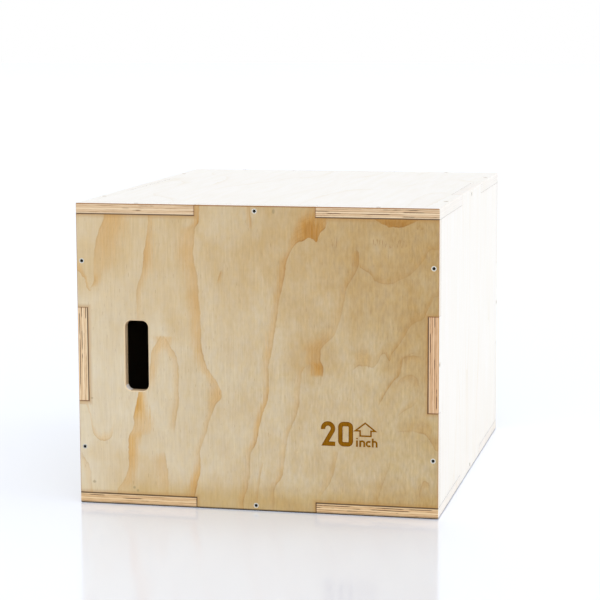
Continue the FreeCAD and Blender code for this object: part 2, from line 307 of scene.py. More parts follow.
def finish_board(board, veneer, joints, edge_tint=PLAIN_EDGE, lively=1.0):
    """Veneer on the faces, ply edge on the sides, dirt at the joints and the top edge, painted shade on
    the inner faces and along the floor, and painted light on the outer faces that look right and up.
    """
    tree = board.tree
    on_face = board.facing.rise(0.86, 0.97)
    arris = board.facing.rise(0.12, 0.4) * (1 - on_face)
    # The rounded arris is a darker brown where it turns towards the face.
    turned_to_face = board.facing.rise(0.5, 0.75)
    rubbed = board.blend(turned_to_face, RUBBED_WOOD, ARRIS_DARK_BROWN)
    rubbed = board.blend(board.rim.rise(2, 4), rubbed, CLEAN_ARRIS)
    sawn = board.blend(1.0, ply_edge(board), edge_tint, "MULTIPLY")
    surface = board.blend(on_face, sawn, fibres(board, veneer, lively))
    surface = board.blend(arris * 0.85, surface, rubbed)
    # Painted shade: the inner faces are darkened almost to brown-black, as in the shadow inside the box.
    inner_shade = board.depth.rise(board_thickness - 2, board_thickness - 1)
    surface = board.blend(inner_shade * 0.9, surface, PAINTED_INSIDE_SHADE)
    patchy_dirt = board.noise(wide=40, long=40, seed=31).rise(0.3, 0.7, 0.5, 1.0)
    dirt = patchy_dirt * board.height.rise(40, 480, 1, 0.7)
    for joint in joints:
        surface = board.blend(abs(joint).rise(1, 8, 0.4, 0) * on_face, surface, SEAM_STAIN)
        seam = board.blend(board.height.rise(60, 260), LOW_SEAM, HIGH_SEAM)
        surface = board.blend(abs(joint).rise(0.4, 1.5, 1, 0) * dirt, surface, seam)
    blue = split(tree, veneer)[2]
    figure = blue.rise(0.1, 0.3, 1, 0)
    streaks = board.noise(wide=12, long=160, seed=34, detail=3).rise(0.3, 0.7, 0, 0.35)
    # Painted light on the outer faces that look right and up: nearly white, a little more so higher up and
    # on the flat faces.
    painted_light = board.blend(figure.most(streaks), PAINTED_LIGHT_WOOD, PAINTED_LIGHT_GRAIN)
    painted_light_share = board.height.rise(0, 220, 0.8, 0.87) + on_face * 0.05
    surface = board.blend(board.sunny * painted_light_share, surface, painted_light)
    # Painted contact shade: a dark band up to 4 mm above the floor, weaker on the lit faces that look
    # right and up.
    contact_shade = board.height.rise(1.0, 4.0, 1, 0) * (1 - board.sunny * 0.7)
    surface = board.blend(contact_shade, surface, PAINTED_CONTACT_SHADE)
    trodden = (box_size.z - board.height).rise(1.0, 2.8, 0.85, 0) * (1 - board.sunny)
    surface = board.blend(trodden, surface, SHOE_DIRT)
    feed(tree, surface, board.shader.inputs["Base Color"])
    roughness = board.noise(wide=2, long=40, seed=32).rise(0.2, 0.8, 0.5, 0.66)
    feed(tree, roughness, board.shader.inputs["Roughness"])
    board.shader.inputs["Specular IOR Level"].default_value = 0.3
    raised_grain = tree.nodes.new("ShaderNodeBump")
    grain_height = board.noise(wide=1.1, long=30, seed=33, deep=1.1, detail=3)
    feed(tree, grain_height, raised_grain.inputs["Height"])
    raised_grain.inputs["Strength"].default_value = 0.25
    raised_grain.inputs["Distance"].default_value = 0.0003
    feed(tree, raised_grain.outputs[0], board.shader.inputs["Normal"])


def dress(node, material):
    """Gives a node of the frame its material."""
    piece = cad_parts[node]
    piece.data.materials.clear()
    piece.data.materials.append(material)


SAPWOOD = colour(210, 189, 150)
LATE_TINT = colour(253, 211, 126)
EDGE_TINT = colour(202, 174, 126)
RINGS = 7


def rotary_veneer(board):
    """Veneer peeled off the log in one sheet: wide flames of late wood, each with one sharp side."""
    sway = board.noise(wide=14, long=40, seed=41) * 0.16 + board.noise(wide=4, long=12, seed=45) * 0.05
    ring = (board.noise(wide=210, long=900, seed=42, detail=1.4) * RINGS + sway).fraction()
    patchy = board.noise(wide=60, long=200, seed=43).rise(0.3, 0.7, 0.25, 1.0)
    streaky = board.noise(wide=2.5, long=120, seed=44).rise(0.25, 0.75, 0.5, 1.0)
    late = ring.power(3) * patchy * streaky * 0.65
    sharp_edge = ring.power(24) * patchy * 0.5
    veneer = board.blend(late, SAPWOOD, LATE_TINT, "MULTIPLY")
    return board.blend(sharp_edge, veneer, EDGE_TINT, "MULTIPLY")


brace_board = Board("pine_ply_brace", "X", "Z", "Y", seed=70, face=brace_high[1] * MM)
finish_board(brace_board, rotary_veneer(brace_board), [])
dress("centre_brace", brace_board.material)


# Side panels: the two long upright boards, each with a finger in the middle of its front and back edges
# and a tab in the middle of its top and bottom edges, sawn from 18 mm pine plywood and sanded.

half_gap = 0.15
front_tab_width = 203.2
side_tab_width = 254
side_finger_width = 158
half_front_tab = front_tab_width / 2 + half_gap
half_side_tab = side_tab_width / 2 + half_gap
half_side_finger = side_finger_width / 2 + half_gap
half_inside = half_box - Vector((1, 1, 1)) * (board_thickness + half_gap)


def make_side(node, seed, edge_tint):
    """Finishes one side panel, with dirt in the seams along its tabs and fingers."""
    board = Board("pine_ply_" + node, "Y", "Z", "X", seed)
    y_out = abs(board.across)
    z_out = abs(board.along)
    tab_seam = (half_side_tab - y_out).most(half_inside.z - z_out)
    finger_seam = (half_inside.y - y_out).most(half_side_finger - z_out)
    finish_board(board, rotary_veneer(board), [tab_seam, finger_seam], edge_tint)
    dress(node, board.material)


make_side("right_panel", seed=20, edge_tint=colour(240, 226, 218))
make_side("left_panel", seed=30, edge_tint=colour(255, 255, 255))


# Front and back panels: boards with a tab in the middle of their top and bottom edges, a notch in the
# middle of each side edge, and a routed hand hole. Their grain runs upright.

LEFT, RIGHT = -1, 1
BELOW, ABOVE = -1, 1
# Flames of late wood on the front. Each has its sharp side and the line of that side, drawn as points:
# place from the middle, height above the floor and width, in millimetres, and strength.
LEFT_FLAMES = (
    (LEFT, ((-256, 485, 42, .65), (-265, 462, 45, .6), (-271, 440, 44, .55), (-274, 413, 40, .4),
            (-275, 395, 24, .35), (-274, 381, 10, .6), (-279, 369, 8, .4), (-285, 361, 5, 0))),
    (LEFT, ((-179, 488, 8, .5), (-183, 453, 10, .6), (-188, 422, 14, .75), (-191, 397, 14, .6),
            (-199, 371, 8, .5), (-201, 345, 7, .4), (-201, 321, 5, .3), (-200, 200, 10, .8),
            (-204, 176, 16, 1), (-208, 154, 26, .85), (-211, 131, 34, .65), (-217, 119, 22, .8),
            (-219, 102, 18, .9), (-219, 75, 17, .8), (-221, 58, 17, .65), (-230, 38, 20, .55),
            (-239, 24, 20, .4))),
    (LEFT, ((-159, 293, 20, 0), (-162, 287, 24, .55), (-168, 277, 24, .65), (-175, 265, 20, .6),
            (-178, 248, 14, .55), (-180, 234, 12, .6), (-182, 205, 8, .4), (-183, 170, 6, 0))),
    (RIGHT, ((-159, 293, 20, 0), (-156, 287, 24, .55), (-151, 281, 24, .6), (-144, 271, 20, .55),
             (-137, 261, 16, .5), (-132, 240, 10, .45), (-131, 190, 8, .5), (-137, 148, 8, .5),
             (-140, 114, 7, 0))),
    (RIGHT, ((-158, 100, 8, 0), (-156, 89, 16, .4), (-154, 74, 22, .5), (-151, 44, 22, .45),
             (-151, 25, 20, .35))),
    (RIGHT, ((-7, 506, 6, .5), (-6, 491, 6, .6), (-5, 475, 5, .55), (-2, 461, 3, 0))),
    (RIGHT, ((-304, 90, 6, 0), (-297, 78, 8, .4), (-289, 63, 10, .4), (-286, 44, 10, .35),
             (-284, 25, 10, .3))),
    (RIGHT, ((-93, 494, 7, .7), (-94, 480, 8, .8), (-101, 468, 20, .5), (-103, 443, 29, .55),
             (-104, 428, 30, .6), (-102, 410, 27, .55), (-98, 392, 20, .55), (-95, 347, 18, .65),
             (-92, 301, 18, .65), (-91, 267, 16, .65), (-82, 239, 14, .6), (-66, 215, 14, .6),
             (-58, 190, 20, .7), (-67, 178, 14, .65), (-77, 154, 8, .5), (-85, 128, 8, .5),
             (-96, 90, 8, .5), (-95, 68, 10, .7), (-100, 43, 14, .85), (-106, 13, 12, .6))),
    (LEFT, ((-57, 402, 2, 0), (-58, 396, 3, .6), (-63, 380, 3, .4), (-64, 372, 2, 0))),
)
RIGHT_FLAMES = (
    (RIGHT, ((60, 442, 8, 0), (59, 433, 10, .5), (54, 420, 10, .7), (48, 387, 10, .65),
             (41, 354, 10, .6), (36, 321, 10, .5), (28, 271, 14, .6), (22, 238, 10, .5),
             (23, 213, 8, .55), (21, 189, 8, .8), (14, 171, 8, .8), (6, 142, 8, .75), (-1, 111, 8, .7),
             (-9, 97, 8, .4), (-11, 64, 8, .35), (-15, 38, 8, .5), (-21, 17, 10, .55))),
    (RIGHT, ((13, 85, 3, 0), (10, 75, 3, .55), (8, 61, 3, .5), (3, 18, 3, .4))),
    (RIGHT, ((167, 445, 7, 0), (172, 436, 10, .55), (173, 420, 12, .65), (171, 410, 10, .55),
             (162, 392, 10, .5), (153, 377, 10, .5), (149, 357, 14, .45), (145, 337, 14, .5),
             (136, 307, 20, .45), (131, 297, 28, .5), (114, 280, 30, .6), (109, 270, 26, .65),
             (109, 255, 24, .7), (114, 244, 24, .95), (113, 231, 22, .8), (110, 222, 16, 0))),
    (RIGHT, ((89, 247, 7, 0), (84, 245, 7, .4), (76, 218, 7, .45), (73, 183, 7, .5), (67, 159, 7, .5),
             (56, 134, 8, .5), (50, 105, 8, .45), (46, 74, 8, .5), (42, 56, 8, .6), (34, 45, 8, .5),
             (30, 20, 8, .35))),
    (RIGHT, ((266, 276, 5, 0), (261, 272, 7, .3), (248, 266, 6, .5), (242, 245, 5, .65),
             (239, 235, 4, .75), (231, 227, 3, .8), (212, 196, 3, .7), (203, 174, 3, 0))),
    (RIGHT, ((138, 112, 6, 0), (138, 104, 8, .45), (134, 83, 10, .5), (131, 68, 12, .55),
             (123, 50, 14, .5), (108, 22, 14, .3))),
    (RIGHT, ((226, 96, 7, 0), (225, 87, 8, .35), (220, 74, 8, .35), (208, 38, 8, .4),
             (204, 23, 8, .3))),
)
LYING_FLAMES = (
    (BELOW, ((-304, 395, 14, .6), (-292, 381, 14, .6), (-287, 368, 12, .55), (-282, 361, 9, .4),
             (-273, 372, 4, 0))),
    (BELOW, ((-293, 169, 9, .35), (-286, 149, 11, .5), (-284, 132, 12, .5), (-277, 115, 12, .5),
             (-264, 108, 12, .5), (-253, 111, 12, .45), (-246, 121, 10, .4), (-240, 150, 6, 0))),
    (BELOW, ((50, 410, 12, 0), (54, 420, 18, .4), (65, 442, 28, .65), (72, 449, 38, .8),
             (83, 453, 45, .95), (89, 457, 46, 1), (99, 454, 46, 1), (104, 451, 44, 1),
             (108, 464, 34, .95), (119, 475, 20, .75), (126, 492, 8, 0))),
    (BELOW, ((172, 414, 8, 0), (176, 411, 9, .5), (192, 399, 8, .5), (201, 389, 9, .45),
             (209, 386, 10, .45), (226, 385, 10, .4), (240, 392, 10, .35), (256, 400, 10, .35),
             (278, 423, 10, .4), (293, 442, 10, .35))),
    (BELOW, ((190, 498, 5, 0), (198, 491, 8, .7), (212, 482, 15, .9), (225, 477, 19, 1),
             (237, 477, 19, 1), (254, 481, 16, .9), (270, 489, 10, .6), (284, 498, 5, 0))),
    (BELOW, ((224, 266, 8, 0), (229, 273, 10, .5), (245, 294, 12, .5), (257, 316, 14, .45),
             (267, 324, 14, .45), (278, 329, 14, .45), (284, 340, 14, .55), (290, 352, 12, .45),
             (299, 366, 12, .35))),
    (BELOW, ((224, 138, 6, 0), (245, 144, 14, .3), (266, 144, 26, .45), (282, 140, 30, .6),
             (291, 131, 30, .65), (302, 114, 26, .6))),
    (ABOVE, ((268, 34, 5, 0), (273, 44, 8, .4), (276, 53, 10, .45), (282, 63, 12, .5),
             (289, 59, 12, .45), (296, 44, 8, 0))),
    (ABOVE, ((231, 216, 5, 0), (237, 224, 7, .35), (244, 232, 9, .4), (258, 237, 12, .4),
             (269, 233, 12, .4), (279, 217, 8, 0))),
    (BELOW, ((234, 166, 5, 0), (240, 171, 7, .35), (250, 179, 9, .4), (263, 187, 10, .35),
             (280, 207, 8, 0))),
    (ABOVE, ((242, 260, 5, 0), (248, 265, 8, .4), (256, 269, 10, .45), (268, 268, 10, .4),
             (284, 270, 10, 0))),
    (BELOW, ((160, 241, 7, 0), (165, 244, 14, .35), (172, 249, 26, .5), (184, 250, 28, .6),
             (194, 247, 24, .5), (203, 254, 16, .45), (216, 272, 10, .4), (221, 261, 10, .6),
             (224, 259, 10, .6), (230, 276, 6, 0))),
)
# Soft patches of the front where the wood is more golden, or less: place, height, half width and half
# length in millimetres, and amount.
GOLDEN_PATCHES = (
    (-34, 480, 66, 50, -.4), (88, 258, 55, 60, .5), (264, 262, 60, 70, .45), (256, 98, 55, 45, -.35),
    (95, 42, 80, 32, -.4), (-290, 400, 40, 60, .4), (230, 450, 70, 40, -.1), (168, 135, 52, 34, .2),
    (-178, 112, 36, 26, .15), (-262, 92, 40, 24, .3), (-235, 440, 36, 70, .3), (-205, 58, 70, 44, .4),
    (-130, 330, 36, 60, .3),
)
# Small marks on the front: place, height, half width and half length in millimetres.
PIN_KNOTS = ((-280, 37, 4, 3), (-210, 30, 3, 3), (-204, 25, 3, 3), (-282, 180, 3, 2), (32, 499, 3, 5))
RESIN_FLECKS = (
    (204, 452, 16, 7), (220, 447, 10, 6), (242, 450, 15, 8), (273, 477, 10, 5),
    (-145, 252, 3, 5), (133, 450, 7, 12),
)
# The widest flame, in millimetres: the drawn widths are shares of it.
WIDEST = 50
PALE_WOOD = colour(222, 211, 188)
TAN_WOOD = colour(192, 170, 129)
GOLDEN_TINT = colour(240, 225, 199)
STAIN_TINT = colour(246, 236, 198)
GOLDEN_LATE_TINT = colour(243, 212, 140)
KNOT_GREY = colour(134, 122, 88)
FLECK_BROWN = colour(142, 94, 40)


def drawn(board, travel, points):
    """A smooth curve through drawn points of travel and value, all shares, level beyond its ends."""
    node = board.tree.nodes.new("ShaderNodeFloatCurve")
    feed(board.tree, travel, node.inputs["Value"])
    first, *between, last = sorted(points)
    spots = [(0, first[1]), first, *between, last, (1, last[1])]
    curve = node.mapping.curves[0]
    while len(curve.points) < len(spots):
        curve.points.new(0.5, 0.5)
    for point, spot in zip(curve.points, spots):
        point.location = spot
        point.handle_type = "AUTO_CLAMPED"
    node.mapping.update()
    return Field(board.tree, node.outputs[0])


def flame(board, across, upward, sharp_side, points, lying):
    """How far a place lies inside a flame from its sharp side, with the flame's width and strength."""
    columns = zip(*points)
    across_spots = [x / box_size.x + 0.5 for x in next(columns)]
    upward_spots = [z / box_size.z for z in next(columns)]
    width_spots = [width / WIDEST for width in next(columns)]
    strength_spots = next(columns)
    if lying:
        travel, travel_spots = across, across_spots
        place, place_spots, reach = upward, upward_spots, box_size.z
    else:
        travel, travel_spots = upward, upward_spots
        place, place_spots, reach = across, across_spots, box_size.x
    line = drawn(board, travel, zip(travel_spots, place_spots))
    width = drawn(board, travel, zip(travel_spots, width_spots)) * WIDEST
    strength = drawn(board, travel, zip(travel_spots, strength_spots))
    return (place - line) * (reach * -sharp_side), width, strength


def smudge(board, x, z, wide, tall):
    """1 in the middle of a soft mark on the front, and 0 outside it."""
    from_x = (board.across - x) / wide
    from_z = (board.along - (z - half_box.z)) / tall
    return (from_x * from_x + from_z * from_z).rise(0.1, 1, 1, 0)


def end_seams(board):
    """How far a place lies from the seams round the tabs and notches of the front or back."""
    x_out = abs(board.across)
    z_out = abs(board.along)
    tab_seam = (half_front_tab - x_out).most(half_inside.z - z_out)
    notch_seam = (half_inside.x - x_out).most(z_out - half_side_finger)
    return [tab_seam, notch_seam]


def front_early_wood(board, rightward, upward):
    """The pale wood between the flames: tan to the right, golden in patches and stained at the foot."""
    drift = board.noise(wide=70, long=160, seed=43) - 0.5
    early = board.blend(rightward + drift * 0.5, PALE_WOOD, TAN_WOOD)
    golden = upward.rise(0.38, 0.96) * (rightward * 0.45 + 0.5)
    for x, z, wide, tall, amount in GOLDEN_PATCHES:
        golden = golden + smudge(board, x, z, wide, tall) * amount
    off_left = rightward.rise(0.02, 0.2, 0.2, 1)
    stained = upward.rise(0.03, 0.14, 0.5, 0) * off_left
    cloud = (board.noise(wide=30, long=55, seed=48, detail=3) - 0.5) * (rightward * 1.3 + 0.5)
    golden_everywhere = 0.25
    early = board.blend(golden + stained + cloud + golden_everywhere, early, GOLDEN_TINT, "MULTIPLY")
    at_floor = upward.rise(0.035, 0.1, 0.6, 0) * off_left
    return board.blend(at_floor, early, STAIN_TINT, "MULTIPLY")


def front_veneer(board):
    """The front's own figure: drawn flames over wood that darkens to the right, knots and resin."""
    rightward = board.across / box_size.x + 0.5
    upward = board.along / box_size.z + 0.5
    early = front_early_wood(board, rightward, upward)
    sway = (board.noise(wide=14, long=22, seed=44) - 0.5) * 5
    sway = sway + (board.noise(wide=4, long=9, seed=49) - 0.5) * 3
    frayed = board.noise(wide=2.6, long=80, seed=45, detail=3) - 0.5
    edge_width = 1.6
    vein_spacing = 6.5
    late = edge = veins = None
    for flames in (LEFT_FLAMES, RIGHT_FLAMES, LYING_FLAMES):
        # Each group is bent a little by the ones before it. So the shader also works them out one by one.
        bent = sway if late is None else sway + late * 0.3
        swayed_across = (board.across + bent) / box_size.x + 0.5
        swayed_upward = (board.along + bent) / box_size.z + 0.5
        lying = flames is LYING_FLAMES
        for sharp_side, points in flames:
            inside, width, strength = flame(board, swayed_across, swayed_upward, sharp_side, points, lying)
            shown = inside.rise(-1.4, 0.8) * strength
            fading = ((inside - width * 0.85) / (width * 0.5 + 5) + frayed * 1.4).rise(-0.7, 0.7, 1, 0)
            late_here = fading * shown * (strength * 0.7 + 0.3)
            edge_here = inside.fall(edge_width) * shown
            vein_here = (inside / vein_spacing + frayed * 0.8).fraction().power(7) * late_here
            late = late_here if late is None else late.most(late_here)
            edge = edge_here if edge is None else edge.most(edge_here)
            veins = vein_here if veins is None else veins.most(vein_here)
    streaky = board.noise(wide=1.8, long=60, seed=47).rise(0.25, 0.7, 0.7, 1.0)
    patchy = board.noise(wide=25, long=60, seed=46).rise(0.3, 0.7, 0.25, 0.95)
    darkest = late.rise(0.86, 1, 0, 0.35) * streaky
    late_tint = board.blend(rightward.rise(0.5, 0.85), LATE_TINT, GOLDEN_LATE_TINT)
    veneer = board.blend(late * streaky, early, late_tint, "MULTIPLY")
    veneer = board.blend((edge * patchy + veins * 0.35).most(darkest), veneer, EDGE_TINT, "MULTIPLY")
    for mark in PIN_KNOTS:
        veneer = board.blend(smudge(board, *mark) * 0.45, veneer, KNOT_GREY)
    broken = board.noise(wide=1.6, long=14, seed=50).rise(0.5, 0.66, 0, 0.6)
    for mark in RESIN_FLECKS:
        veneer = board.blend(smudge(board, *mark) * broken, veneer, FLECK_BROWN)
    return veneer


front_board = Board("pine_ply_front", "X", "Z", "Y", seed=1)
front_lively = (front_board.across / box_size.x + 0.5) * 1.05 + 0.6
finish_board(front_board, front_veneer(front_board), end_seams(front_board), lively=front_lively)
dress("front_panel", front_board.material)

back_board = Board("pine_ply_back", "X", "Z", "Y", seed=50)
finish_board(back_board, rotary_veneer(back_board), end_seams(back_board))
dress("back_panel", back_board.material)


# Top and bottom panels: boards with a corner finger at each end of their front and back edges and a notch
# for the sides' tabs. They close the box over and under the other four, and their ply edges show in front.


def make_top_or_bottom(node, seed, edge_tint):
    """Finishes the top or the bottom panel, with dirt in the seams round its fingers and notches."""
    board = Board("pine_ply_" + node, "X", "Y", "Z", seed)
    x_out = abs(board.across)
    y_out = abs(board.along)
    finger_seam = (x_out - half_front_tab).most(half_inside.y - y_out)
    notch_seam = (half_inside.x - x_out).most(y_out - half_side_tab)
    finish_board(board, rotary_veneer(board), [finger_seam, notch_seam], edge_tint)
    dress(node, board.material)


make_top_or_bottom("top_panel", seed=4, edge_tint=colour(248, 248, 250))
make_top_or_bottom("bottom_panel", seed=9, edge_tint=colour(248, 242, 230))


# Wood screws: zinc-plated countersunk screws, one in the middle of each tab and finger, driven just under
# the face. Each has a flat head with a six-lobed socket, a smooth neck and a coarse thread to its point.

OUTWARD = {
    "front": (0, -1, 0), "back": (0, 1, 0), "left": (-1, 0, 0), "right": (1, 0, 0),
    "bottom": (0, 0, -1), "top": (0, 0, 1),
}
screw_nodes = [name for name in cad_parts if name.endswith(("_screw", "_screws"))]
head_radius = 0.0042
ZINC_BRIGHT = colour(208, 206, 198)
ZINC_DULL = colour(186, 184, 176)
# Painted shade for the six-lobed socket of each screw head.
PAINTED_SOCKET_SHADE = colour(38, 36, 32)


def screw_places(node):
    """The middle of each screw head in a node, and the way it faces: heads sit at the ends of its box."""
    low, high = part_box(node)
    outward = OUTWARD[node.split("_")[0]]
    places = [()]
    for lowest, highest, way in zip(low, high, outward):
        if way:
            spots = [highest if way > 0 else lowest]
        elif highest - lowest > 3 * head_radius:
            spots = [lowest + head_radius, highest - head_radius]
        else:
            spots = [(lowest + highest) / 2]
        places = [(*place, spot) for place in places for spot in spots]
    return [(place, outward) for place in places]


def zinc_plate():
    """Bright zinc with fine marks, and painted shade in the socket."""
    material = bpy.data.materials.new("zinc_plate")
    material.use_nodes = True
    tree = material.node_tree
    shader = tree.nodes["Principled BSDF"]
    x, y, z = places_in_mm(tree)
    depth = (half_box.x - abs(x)).least(half_box.y - abs(y)).least(half_box.z - abs(z))
    mark_size = 0.5
    marks = noise(tree, join(tree, x / mark_size, y / mark_size, z / mark_size), 2)
    plate = blend(tree, marks.rise(0.3, 0.7), ZINC_BRIGHT, ZINC_DULL)
    # Painted shade: the socket and everything below it are near black, as the shadow in the recess.
    socket_shade = depth.rise(0.45, 0.8)
    feed(tree, blend(tree, socket_shade, plate, PAINTED_SOCKET_SHADE), shader.inputs["Base Color"])
    feed(tree, marks.rise(0.2, 0.8, 0.28, 0.42), shader.inputs["Roughness"])
    shader.inputs["Metallic"].default_value = 1
    return material


SCREW_SIZES = {
    "Head Radius": head_radius,
    "Head Rim": 0.0003,
    "Head Height": 0.0022,
    "Neck Radius": 0.0016,
    "Thread Radius": 0.0022,
    "Length": 0.050,
    "Point Length": 0.007,
    "Thread Length": 0.030,
    "Thread Pitch": 0.0027,
    "Socket Radius": 0.0027,
    "Socket Depth": 0.0018,
}


def screw_tree():
    """A tree that draws one screw out of a disc, set on each point along the point's own direction."""
    tree = bpy.data.node_groups.new("wood_screws", "GeometryNodeTree")

    def add_socket(name, kind, way="INPUT"):
        tree.interface.new_socket(name, in_out=way, socket_type="NodeSocket" + kind)

    add_socket("Geometry", "Geometry")
    add_socket("Geometry", "Geometry", "OUTPUT")
    for name in SCREW_SIZES:
        add_socket(name, "Float")
    add_socket("Seed", "Int")
    add_socket("Material", "Material")
    given = tree.nodes.new("NodeGroupInput").outputs
    size = {name: Field(tree, given[name]) for name in SCREW_SIZES}

    def add(kind, settings=(), **inputs):
        """Adds a node, with its settings and its inputs by name."""
        node = tree.nodes.new(kind)
        for name, value in dict(settings).items():
            setattr(node, name, value)
        for name, value in inputs.items():
            feed(tree, value, node.inputs[name.replace("_", " ")])
        return node

    def draw_out(mesh, face, length, scale):
        """Draws a face out along its normal and scales its end."""
        longer = add("GeometryNodeExtrudeMesh", Mesh=mesh, Selection=face, Offset_Scale=length)
        top = longer.outputs["Top"]
        shaped = add("GeometryNodeScaleElements",
                     Geometry=longer.outputs["Mesh"], Selection=top, Scale=scale)
        return shaped.outputs[0], top

    head_sides = 36
    tip_share = 0.12
    disc = add("GeometryNodeMeshCylinder",
               Vertices=head_sides, Radius=size["Head Radius"], Depth=size["Head Rim"])
    lowered = add("GeometryNodeTransform", Geometry=disc.outputs["Mesh"])
    feed(tree, join(tree, 0, 0, size["Head Rim"] * -0.5), lowered.inputs["Translation"])
    mesh, face = lowered.outputs[0], disc.outputs["Bottom"]
    taper = size["Head Height"] - size["Head Rim"]
    core = size["Length"] - size["Head Height"] - size["Point Length"]
    mesh, face = draw_out(mesh, face, taper, size["Neck Radius"] / size["Head Radius"])
    mesh, face = draw_out(mesh, face, core, 1)
    mesh, face = draw_out(mesh, face, size["Point Length"], tip_share)

    lobe_count = 6
    lobe_share = 0.13
    socket_floor_share = 0.85
    mesh, face = draw_out(mesh, disc.outputs["Top"], 0, size["Socket Radius"] / size["Head Radius"])
    x, y, z = split(tree, add("GeometryNodeInputPosition").outputs[0])
    around = y.math("ARCTAN2", y, x)
    lobes = around.math("COSINE", around * lobe_count) * lobe_share + 1
    lobed = add("GeometryNodeSetPosition",
                Geometry=mesh, Selection=face, Position=join(tree, x * lobes, y * lobes, z))
    mesh, face = draw_out(lobed.outputs[0], face, size["Socket Depth"] * -1, socket_floor_share)

    coil_steps = 16
    rib_sides = 4
    turns = size["Thread Length"] / size["Thread Pitch"]
    coil = add("GeometryNodeCurveSpiral",
               Resolution=coil_steps, Rotations=turns, Height=size["Thread Length"],
               Start_Radius=size["Neck Radius"], End_Radius=size["Neck Radius"])
    rib_radius = size["Thread Radius"] - size["Neck Radius"]
    rib = add("GeometryNodeCurvePrimitiveCircle", Resolution=rib_sides, Radius=rib_radius)
    thread = add("GeometryNodeCurveToMesh",
                 Curve=coil.outputs[0], Profile_Curve=rib.outputs["Curve"], Fill_Caps=True)
    set_low = add("GeometryNodeTransform", Geometry=thread.outputs[0])
    feed(tree, join(tree, 0, 0, size["Point Length"] - size["Length"]), set_low.inputs["Translation"])
    whole = add("GeometryNodeJoinGeometry")
    feed(tree, mesh, whole.inputs[0])
    feed(tree, set_low.outputs[0], whole.inputs[0])

    outward = add("GeometryNodeInputNamedAttribute", {"data_type": "FLOAT_VECTOR"}, Name="outward")
    upright = add("FunctionNodeAlignRotationToVector", {"axis": "Z"}, Vector=outward.outputs["Attribute"])
    chance = add("FunctionNodeRandomValue", {"data_type": "FLOAT"}, Seed=given["Seed"])
    turn = add("FunctionNodeAxisAngleToRotation", Angle=Field(tree, chance.outputs[1]) * (2 * math.pi))
    turned = add("FunctionNodeRotateRotation", {"rotation_space": "LOCAL"},
                 Rotation=upright.outputs[0], Rotate_By=turn.outputs[0])
    placed = add("GeometryNodeInstanceOnPoints",
                 Points=given["Geometry"], Instance=whole.outputs[0], Rotation=turned.outputs[0])
    real = add("GeometryNodeRealizeInstances", Geometry=placed.outputs[0])
    coated = add("GeometryNodeSetMaterial", Geometry=real.outputs[0], Material=given["Material"])
    feed(tree, coated.outputs[0], tree.nodes.new("NodeGroupOutput").inputs[0])
    return tree


heads = [head for node in screw_nodes for head in screw_places(node)]
head_mesh = bpy.data.meshes.new("screw_places")
head_mesh.from_pydata([place for place, outward in heads], [], [])
directions = head_mesh.attributes.new("outward", "FLOAT_VECTOR", "POINT")
for direction, (place, outward) in zip(directions.data, heads):
    direction.vector = outward
screws = bpy.data.objects.new("wood_screws", head_mesh)
bpy.context.scene.collection.objects.link(screws)
screw_modifier = screws.modifiers.new("wood_screws", "NODES")
screw_modifier.node_group = screw_tree()
screw_inputs = {**SCREW_SIZES, "Seed": 3, "Material": zinc_plate()}
for item in screw_modifier.node_group.interface.items_tree:
    if item.name in screw_inputs:
        screw_modifier[item.identifier] = screw_inputs[item.name]
evaluated = screws.evaluated_get(bpy.context.evaluated_depsgraph_get())
screw_mesh = bpy.data.meshes.new_from_object(evaluated)
screws.modifiers.remove(screw_modifier)
screws.data = screw_mesh
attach(screws, "root")
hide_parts(*screw_nodes)


# Height mark: the height in inches that the box has with this side up, burnt into the front veneer by
# a laser: two bold figures, a thin arrow that points up and the unit under it.

figure_low, figure_high = 115, 156
figure_stroke = 7.4
arrow_stroke = 2.5
letter_stroke = 3.0
burn_proud = 0.15
burn_sunk = 0.4
BURNT_GOLD = colour(146, 98, 12)
BURNT_BROWN = colour(124, 78, 2)
SCORCHED_RIM = colour(102, 62, 2)


def arc(middle, radius, start, end, steps=16):
    """Points on an arc, between two angles in degrees."""
    angles = (math.radians(start + (end - start) * step / steps) for step in range(steps + 1))
    return [(middle[0] + radius * math.cos(a), middle[1] + radius * math.sin(a)) for a in angles]


def burn_stroke(mesh, edge_layer, points, width, closed=False):
    """Adds one flat stroke of the mark along a line of points, with mitred corners and its rim marked."""
    sharpest_mitre = 0.3
    count = len(points)
    spots = [Vector(point) for point in points]
    rows = []
    for index, spot in enumerate(spots):
        before = spots[index - 1] if index or closed else None
        after = spots[(index + 1) % count] if index < count - 1 or closed else None
        ways = [way.normalized() for way in (before and spot - before, after and after - spot) if way]
        heading = sum(ways, Vector((0, 0))).normalized()
        mitre = max(heading.dot(ways[0]), sharpest_mitre)
        side = Vector((-heading.y, heading.x)) * (width / 2 / mitre)
        row = []
        for shift, level, rim in ((side, burn_proud, 1), (side * 0, burn_proud, 0), (-side, burn_proud, 1),
                                  (-side, -burn_sunk, 1), (side, -burn_sunk, 1)):
            x, z = spot + shift
            corner = mesh.verts.new((x / MM, -(half_box.y + level) / MM, z / MM))
            corner[edge_layer] = rim
            row.append(corner)
        rows.append(row)
    pairs = list(zip(rows, rows[1:])) + ([(rows[-1], rows[0])] if closed else [])
    for first, second in pairs:
        for side in range(len(first)):
            following = (side + 1) % len(first)
            mesh.faces.new((first[side], first[following], second[following], second[side]))
    if not closed:
        mesh.faces.new(rows[0])
        mesh.faces.new(reversed(rows[-1]))


